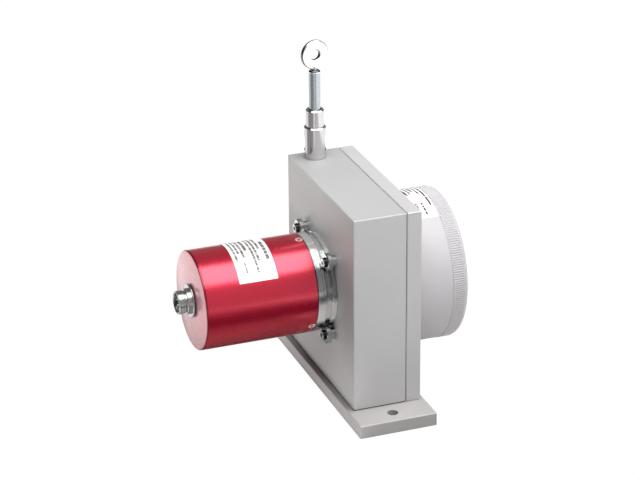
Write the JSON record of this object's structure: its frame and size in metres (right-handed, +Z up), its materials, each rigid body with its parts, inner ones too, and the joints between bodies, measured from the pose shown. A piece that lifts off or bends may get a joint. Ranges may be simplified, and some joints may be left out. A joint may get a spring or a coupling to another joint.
{
  "type": "draw wire encoder",
  "caption": "Draw wire encoder: spring-driven wire drum in a block housing on a foot plate, flanged round encoder with a connector, ribbed spring cover, wire end with an eye.",
  "frame": {"origin": "middle of the base plate's underside", "axes": "+Z up along the drawn wire, +X along the drum shaft from the encoder to the spring cover, +Y towards the wire outlet"},
  "size_m": [0.1621, 0.145, 0.1982],
  "materials": {
    "blasted_aluminium": "bead-blasted and clear anodised",
    "turned_aluminium": "fine turned",
    "red_anodised": "dyed red anodised, fine turned",
    "cover_plastic": "fine matt moulded, light grey",
    "steel": "zinc plated",
    "bearing_steel": "ground",
    "black_steel": "black oxide",
    "spring_steel": "blued strip",
    "wire_steel": "stranded stainless",
    "zinc_steel": "satin zinc plated",
    "bright_steel": "bright plated",
    "nickel": "nickel plated",
    "brass": "turned",
    "contact_silver": "silver plated",
    "rubber": "matt black",
    "label_film": "white printed film",
    "board_green": "solder mask",
    "black_plastic": "matt black",
    "disc_glass": "clear with a printed track",
    "ceramic": "glazed white",
    "felt": "grey felt",
    "lead_jacket": "insulated wire"
  },
  "bodies": {
    "housing": {"base_plate": "blasted_aluminium", "base_screws": "black_steel", "drum_housing": "blasted_aluminium", "plate_gasket": "rubber", "rear_plate": "blasted_aluminium", "plate_screws": "black_steel", "spring_cover": "cover_plastic", "cover_pillars": "brass", "cover_screws": "steel", "cover_label": "label_film", "spring_cassette": "steel", "power_spring": "spring_steel", "drum_bearing_outer_rings": "bearing_steel", "drum_bearing_balls": "bearing_steel", "encoder_flange": "turned_aluminium", "encoder_casing": "red_anodised", "casing_screws": "steel", "servo_clamps": "steel", "clamp_screws": "steel", "bearing_spacer": "turned_aluminium", "encoder_bearing_outer_rings": "bearing_steel", "encoder_bearing_balls": "bearing_steel", "read_head": "black_plastic", "circuit_board": "board_green", "board_pillars": "brass", "board_screws": "steel", "board_chips": "black_plastic", "signal_leads": "lead_jacket", "connector_shell": "nickel", "connector_washer": "nickel", "connector_seal": "rubber", "connector_nut": "nickel", "connector_insert": "black_plastic", "connector_pins": "contact_silver", "encoder_label": "label_film", "outlet_body": "turned_aluminium", "outlet_bush": "turned_aluminium", "outlet_set_screw": "black_steel", "wire_guide": "ceramic", "felt_wiper": "felt", "stop_buffer": "rubber"},
    "rotor": {"drum": "turned_aluminium", "drum_shaft": "steel", "drum_set_screws": "black_steel", "wire_winding": "wire_steel", "drum_bearing_inner_rings": "bearing_steel", "encoder_bearing_inner_rings": "bearing_steel", "encoder_shaft": "steel", "shaft_set_screws": "black_steel", "disc_hub": "brass", "code_disc": "disc_glass", "spring_arbor": "brass"},
    "wire_end": {"wire_lead": "wire_steel", "end_rod": "zinc_steel", "wire_ferrule": "brass"},
    "eye": {"eye_ring": "bright_steel"}
  },
  "joints": [
    {"name": "drum_spin", "type": "hinge", "parent": "housing", "child": "rotor", "pos_m": [0, 0, 0.068], "axis": [1, 0, 0], "range_deg": [0, 3841], "stiffness_Nm_per_rad": 0.0027, "springref_deg": -5729.58},
    {"name": "wire_pull", "type": "slide", "parent": "housing", "child": "wire_end", "axis": [0, 0, 1], "range_m": [0, 3], "deforming": ["wire_lead"]},
    {"name": "eye_swivel", "type": "hinge", "parent": "wire_end", "child": "eye", "pos_m": [-0.006, 0.04475, 0.175], "axis": [0, 0, 1], "continuous": true}
  ],
  "couplings": [
    {"joint": "wire_pull", "follows": "drum_spin", "m_per_rad": 0.04475}
  ]
}
